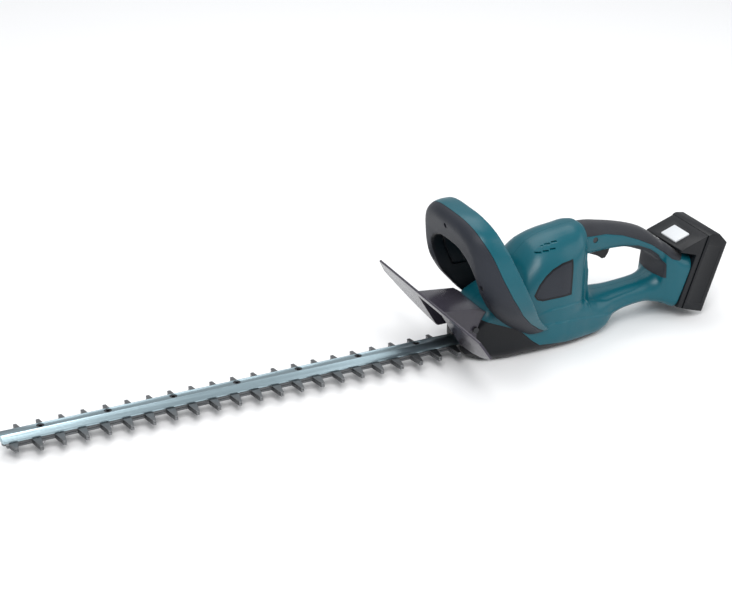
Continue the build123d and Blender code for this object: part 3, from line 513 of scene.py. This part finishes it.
def tunnel(rings):
    """A closed form through arch outlines, each with its own x for a height."""
    size = len(rings[0])
    vertices = [Vector(point) * MM for ring in rings for point in ring]
    faces = [list(range(size)), list(range((len(rings) - 1) * size, len(rings) * size))]
    for number in range(len(rings) - 1):
        for n in range(size):
            a, b = number * size + n, number * size + (n + 1) % size
            faces.append((a, b, b + size, a + size))
    return new_object("tunnel", vertices, faces)


def straight(outline):
    """An outline across the tool, carried along it as a block."""
    return tunnel([[(x, y, z) for y, z in outline] for x in (-130, 60)])


def front_of_loop(z):
    """The x of the loop's front face at a height."""
    table = [(height, x) for x, height in reversed(LOOP_FRONT)]
    return between(table, z, 1)


loop = straight(arch(LOOP_OUTER, 0))
combined(loop, straight(arch(LOOP_INNER, 0)), "DIFFERENCE")
combined(loop, prism(LOOP_FRONT + list(reversed(LOOP_REAR)), -LOOP_WIDE, LOOP_WIDE), "INTERSECT")
rings = []
for step in range(ROUND_STEPS + 1):
    turn = radians(90 / ROUND_STEPS * step)
    outline = arch(LOOP_OUTER, -ROUND_IN * (1 - sin(turn)))
    depth = ROUND_BACK * (1 - cos(turn)) - 0.5
    rings.append([(front_of_loop(z) + depth, y, z) for y, z in outline])
rings.append([(front_of_loop(z) + 120, y, z) for y, z in arch(LOOP_OUTER, 0.5)])
combined(loop, tunnel(rings), "INTERSECT")
smoothed(loop, LOOP_VOXEL, 14)
channel_front = [(CHANNEL_AT[0] - (z - CHANNEL_AT[1]) * LEAN, z) for z in CHANNEL_HEIGHTS]
channel_rear = [(x + CHANNEL_WIDTH, z) for x, z in channel_front]
channel = straight(arch(LOOP_INNER, CHANNEL_DEPTH, CHANNEL_LIFT))
channel_side = channel_front + list(reversed(channel_rear))
combined(channel, prism(channel_side, -LOOP_WIDE, LOOP_WIDE), "INTERSECT")
combined(loop, channel, "DIFFERENCE")
for x, y, z in HANDLE_SCREWS:
    combined(loop, rod((x - 10, y, z), (x + 5, y, z), SCREW_R), "DIFFERENCE")
lining = combined(twin(loop, "front_handle_lining"), straight(arch(LOOP_INNER, LINING - LINING_GAP)),
                  "INTERSECT")
combined(loop, straight(arch(LOOP_INNER, LINING)), "DIFFERENCE")
before_seam = LOOP_SEAM + [(28, 10), (-140, 10), (-140, 190)]
behind_seam = LOOP_SEAM + [(60, 32), (60, 190)]
loop_front = combined(twin(loop, "front_handle_front_skin"),
                      prism(grown(before_seam, -LOOP_SEAM_GAP), -LOOP_WIDE, LOOP_WIDE), "INTERSECT")
loop_rear = combined(twin(loop, "front_handle_rear_skin"),
                     prism(grown(behind_seam, -LOOP_SEAM_GAP), -LOOP_WIDE, LOOP_WIDE), "INTERSECT")
bpy.data.objects.remove(loop)
finished(loop_front, "tool_body", "grey_plastic", "front_handle_front_shell")
finished(loop_rear, "tool_body", "teal_plastic", "front_handle_rear_shell")
finished(lining, "tool_body", "black_plastic")
lever = smoothed(copied("front_lever_skin", "front_switch_lever"), LEVER_VOXEL, 8)
finished(lever, "front_lever", "black_plastic", "front_switch_lever")

# --- trigger and guard -------------------------------------------------------------------
trigger = smoothed(copied("trigger_skin", "rear_trigger"), TRIGGER_VOXEL, 10)
finished(trigger, "trigger", "black_plastic", "rear_trigger")
finished(bevelled(copied("guard_plate", "guard"), 0.0008, 3, 30), "tool_body", "smoky_plastic", "guard")

# --- cutting gear ------------------------------------------------------------------------
for name in ("upper", "lower"):
    ground = bevelled(copied(f"{name}_blade_ground", f"{name}_blade"), 0.0008, 1, 40)
    finished(ground, f"{name}_blade_body", "blade_steel", f"{name}_blade")
bar = bevelled(copied("guide_bar_plated", "guide_bar"), 0.0003, 2, 25)
finished(bar, "tool_body", "nickel_bar", "guide_bar")

# --- battery -----------------------------------------------------------------------------
BATTERY_HALF = 37.0
PANEL_DEPTH = 0.5
PANEL = [tilted(217, 92), tilted(238, 92), tilted(238, 166), tilted(217, 166)]
case = copied("battery_case_skin", "battery_case")
for side in (-1, 1):
    combined(case, prism(PANEL, side * (BATTERY_HALF - PANEL_DEPTH), side * OUTSIDE), "DIFFERENCE")
finished(bevelled(case, 0.0012, 3, 30), "battery", "black_plastic", "battery_case")
cover = bevelled(copied("battery_cover_skin", "battery_cover"), 0.0010, 3, 30)
finished(cover, "battery", "black_plastic", "battery_cover")
button = bevelled(copied("battery_button_skin", "battery_button"), 0.0012, 3, 30)
finished(button, "button", "button_plastic", "battery_button")

# --- floor, light and camera, in metres --------------------------------------------------
FLOOR_HALF = 40
FLOOR_DROP = 0.0005
floor_mesh = bpy.data.meshes.new("floor")
floor_corners = [(-FLOOR_HALF, -FLOOR_HALF, 0), (FLOOR_HALF, -FLOOR_HALF, 0), (FLOOR_HALF, FLOOR_HALF, 0),
                 (-FLOOR_HALF, FLOOR_HALF, 0)]
floor_mesh.from_pydata(floor_corners, [], [(0, 1, 2, 3)])
floor = bpy.data.objects.new("floor", floor_mesh)
bpy.context.scene.collection.objects.link(floor)
floor.location.z = -FLOOR_DROP
paper = bpy.data.materials.new("paper")
paper.use_nodes = True
paper_shader = paper.node_tree.nodes["Principled BSDF"]
paper_shader.inputs["Base Color"].default_value = (0.92, 0.92, 0.92, 1)
paper_shader.inputs["Roughness"].default_value = 0.9
floor_mesh.materials.append(paper)

MIDDLE = Vector((-0.17, 0, 0.06))
for name, place, size, power in (
    ("key_light", (-0.9, -1.3, 1.9), 1.2, 34),
    ("fill_light", (1.6, -1.2, 1.2), 1.6, 14),
    ("top_light", (0.1, 0.9, 2.2), 1.8, 24),
):
    lamp = bpy.data.lights.new(name, "AREA")
    lamp.size = size
    lamp.energy = power
    holder = bpy.data.objects.new(name, lamp)
    holder.location = place
    holder.rotation_euler = (MIDDLE - Vector(place)).to_track_quat("-Z", "Y").to_euler()
    bpy.context.scene.collection.objects.link(holder)

bpy.context.scene.view_settings.view_transform = "Standard"
world = bpy.data.worlds.new("studio")
world.use_nodes = True
backdrop = world.node_tree.nodes["Background"]
backdrop.inputs["Color"].default_value = (0.95, 0.97, 1.0, 1)
backdrop.inputs["Strength"].default_value = 0.55
bpy.context.scene.world = world

# the camera that the photograph was taken from, in metres
EYE = (-0.9981, -1.58748, 0.95983)
FOCAL_LENGTH, SENSOR_WIDTH = 88.44, 36.0
AZIMUTH, ELEVATION, ROLL = radians(-27.26), radians(25.85), radians(1.118)
back = Vector((sin(AZIMUTH) * cos(ELEVATION), -cos(AZIMUTH) * cos(ELEVATION), sin(ELEVATION)))
level = Vector((cos(AZIMUTH), sin(AZIMUTH), 0))
upright = back.cross(level)
right = level * cos(ROLL) + upright * sin(ROLL)
up = upright * cos(ROLL) - level * sin(ROLL)
camera = bpy.data.objects.new("camera", bpy.data.cameras.new("camera"))
camera.data.lens = FOCAL_LENGTH
camera.data.sensor_width = SENSOR_WIDTH
turn = Matrix((right, up, back)).transposed().to_4x4()
camera.matrix_world = Matrix.Translation(EYE) @ turn
bpy.context.scene.collection.objects.link(camera)
bpy.context.scene.camera = camera
